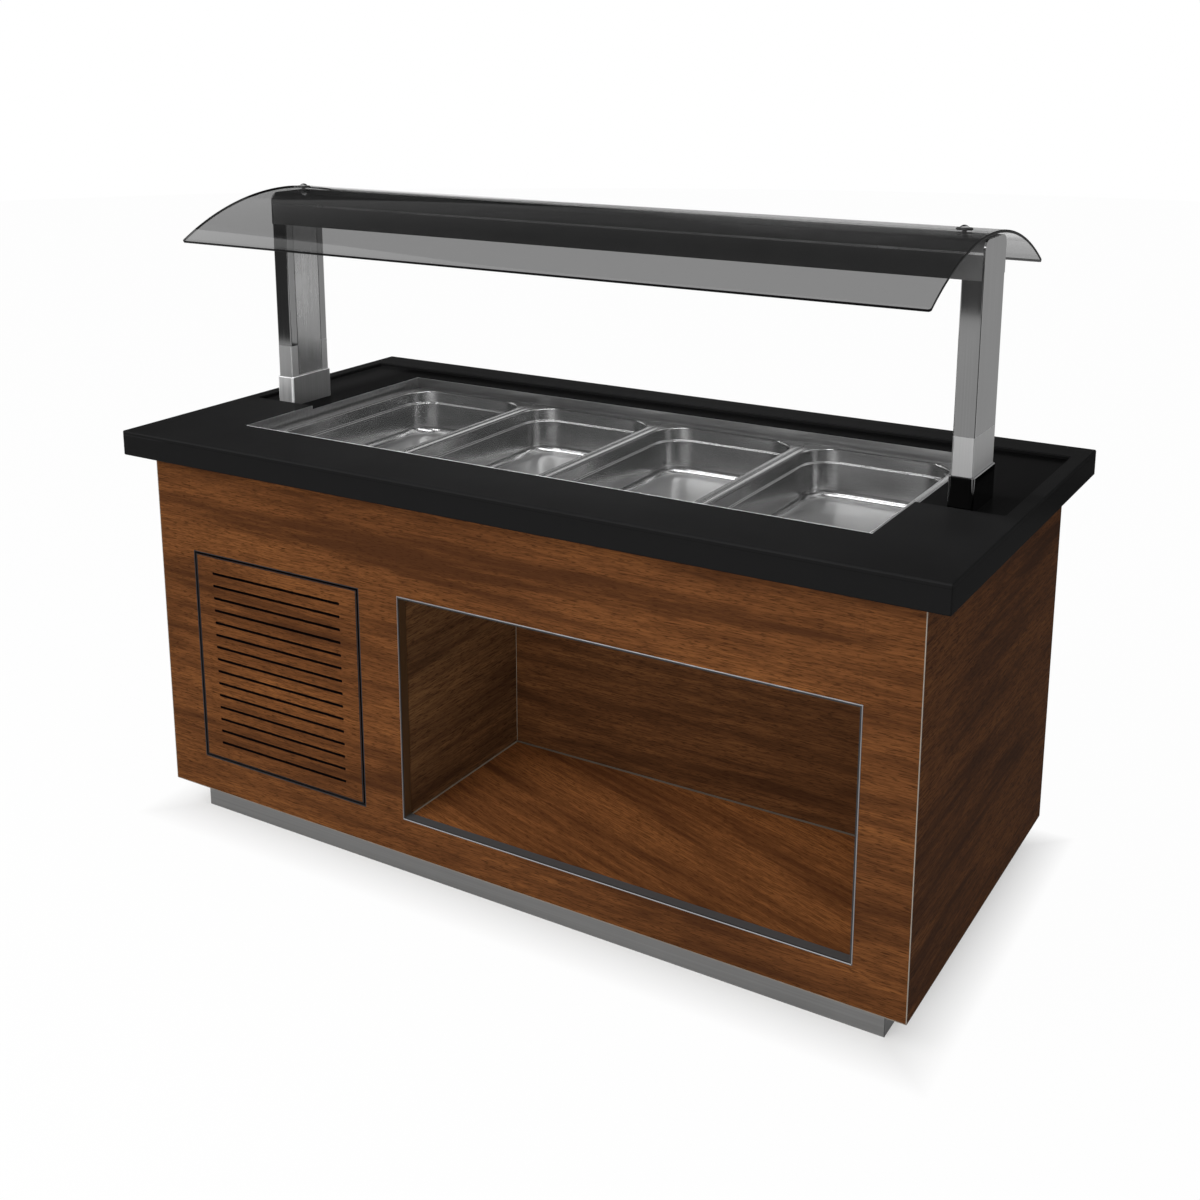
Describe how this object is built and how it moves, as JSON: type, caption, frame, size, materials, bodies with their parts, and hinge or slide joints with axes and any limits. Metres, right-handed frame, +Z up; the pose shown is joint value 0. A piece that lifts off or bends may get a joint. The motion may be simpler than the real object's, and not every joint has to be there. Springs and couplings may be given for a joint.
{
  "type": "hot buffet counter",
  "caption": "Free-standing hot buffet counter with lift-out food pans in a heated water well, a plate niche, a slotted vent panel, and an arched smoked canopy on a lit beam.",
  "frame": {"origin": "on the floor under the centre of the counter top", "axes": "+X along the customers' front to the right seen from it, +Y to the operators' side, +Z up"},
  "size_m": [1.71, 0.86, 1.298],
  "materials": {
    "walnut_laminate": "satin laminate",
    "niche_laminate": "satin laminate",
    "pale_edging": "smooth",
    "plain_timber": "planed",
    "plinth_steel": "satin",
    "trim_steel": "satin",
    "vent_black": "satin black",
    "catch_steel": "plated",
    "counter_black": "satin solid surface",
    "well_steel": "satin stainless",
    "pan_steel": "satin stainless",
    "jacket_wool": "mineral wool with foil",
    "element_steel": "heat-darkened",
    "valve_brass": "machined",
    "lever_red": "dipped",
    "pipe_grey": "smooth",
    "box_grey": "moulded",
    "gland_black": "moulded",
    "plate_steel": "brushed",
    "knob_black": "moulded",
    "switch_black": "moulded",
    "pilot_amber": "clear tinted",
    "post_steel": "polished stainless",
    "beam_black": "satin black",
    "bead_bright": "bright",
    "light_board": "white coated",
    "diffuser_opal": "opal",
    "canopy_smoke": "smoked clear",
    "pad_rubber": "moulded",
    "nut_chrome": "polished"
  },
  "bodies": {
    "counter": {"front_panel": "walnut_laminate", "rear_panel": "walnut_laminate", "side_panel_left": "walnut_laminate", "side_panel_right": "walnut_laminate", "niche_floor": "niche_laminate", "niche_ceiling": "niche_laminate", "niche_left_wall": "niche_laminate", "niche_right_wall": "niche_laminate", "niche_back": "niche_laminate", "corner_strips": "pale_edging", "carcass_frame": "plain_timber", "base_panel": "plain_timber", "plinth": "plinth_steel", "niche_trim": "trim_steel", "vent_surround": "vent_black", "vent_catches": "catch_steel", "post_nuts": "catch_steel", "post_feet": "catch_steel", "counter_top": "counter_black", "well_tank": "well_steel", "tank_floor": "well_steel", "well_flange": "well_steel", "pan_bars": "well_steel", "well_edge_strip": "well_steel", "tank_jacket": "jacket_wool", "heating_element": "element_steel", "drain_fitting": "valve_brass", "drain_valve": "valve_brass", "drain_pipe": "pipe_grey", "terminal_box": "box_grey", "thermostat": "box_grey", "cable_gland": "gland_black", "control_plate": "plate_steel", "switch_frames": "switch_black", "pilot_lamp": "pilot_amber", "post_left": "post_steel", "post_right": "post_steel", "post_cover_left": "post_steel", "post_cover_right": "post_steel", "post_collar_left": "post_steel", "post_collar_right": "post_steel", "beam_housing": "beam_black", "beam_cover": "beam_black", "beam_beads": "bead_bright", "light_strip": "light_board", "diffuser": "diffuser_opal", "canopy": "canopy_smoke", "canopy_pads": "pad_rubber", "canopy_washers": "pad_rubber", "canopy_studs": "nut_chrome", "dome_nuts": "nut_chrome"},
    "pan_1": {"gn_pan_1": "pan_steel"},
    "pan_2": {"gn_pan_2": "pan_steel"},
    "pan_3": {"gn_pan_3": "pan_steel"},
    "pan_4": {"gn_pan_4": "pan_steel"},
    "vent_cover": {"vent_panel": "walnut_laminate"},
    "knob": {"thermostat_knob": "knob_black"},
    "heat_rocker": {"heat_switch": "switch_black"},
    "light_rocker": {"light_switch": "switch_black"},
    "drain_handle": {"drain_lever": "lever_red"}
  },
  "joints": [
    {"name": "pan_1_lift", "type": "slide", "parent": "counter", "child": "pan_1", "axis": [0, 0, 1], "range_m": [0, 0.2]},
    {"name": "pan_2_lift", "type": "slide", "parent": "counter", "child": "pan_2", "axis": [0, 0, 1], "range_m": [0, 0.2]},
    {"name": "pan_3_lift", "type": "slide", "parent": "counter", "child": "pan_3", "axis": [0, 0, 1], "range_m": [0, 0.2]},
    {"name": "pan_4_lift", "type": "slide", "parent": "counter", "child": "pan_4", "axis": [0, 0, 1], "range_m": [0, 0.2]},
    {"name": "vent_cover_pull", "type": "slide", "parent": "counter", "child": "vent_cover", "axis": [0, -1, 0], "range_m": [0, 0.12]},
    {"name": "thermostat_turn", "type": "hinge", "parent": "counter", "child": "knob", "pos_m": [-0.43, 0.3915, 0.67], "axis": [0, -1, 0], "range_deg": [0, 270]},
    {"name": "heat_switch_rock", "type": "hinge", "parent": "counter", "child": "heat_rocker", "pos_m": [-0.502, 0.388, 0.67], "axis": [-1, 0, 0], "range_deg": [0, 20]},
    {"name": "light_switch_rock", "type": "hinge", "parent": "counter", "child": "light_rocker", "pos_m": [-0.542, 0.388, 0.67], "axis": [-1, 0, 0], "range_deg": [0, 20]},
    {"name": "drain_lever_turn", "type": "hinge", "parent": "counter", "child": "drain_handle", "pos_m": [-0.5335, -0.1181, 0.5853], "axis": [0, 1, 0], "range_deg": [0, 90]}
  ]
}
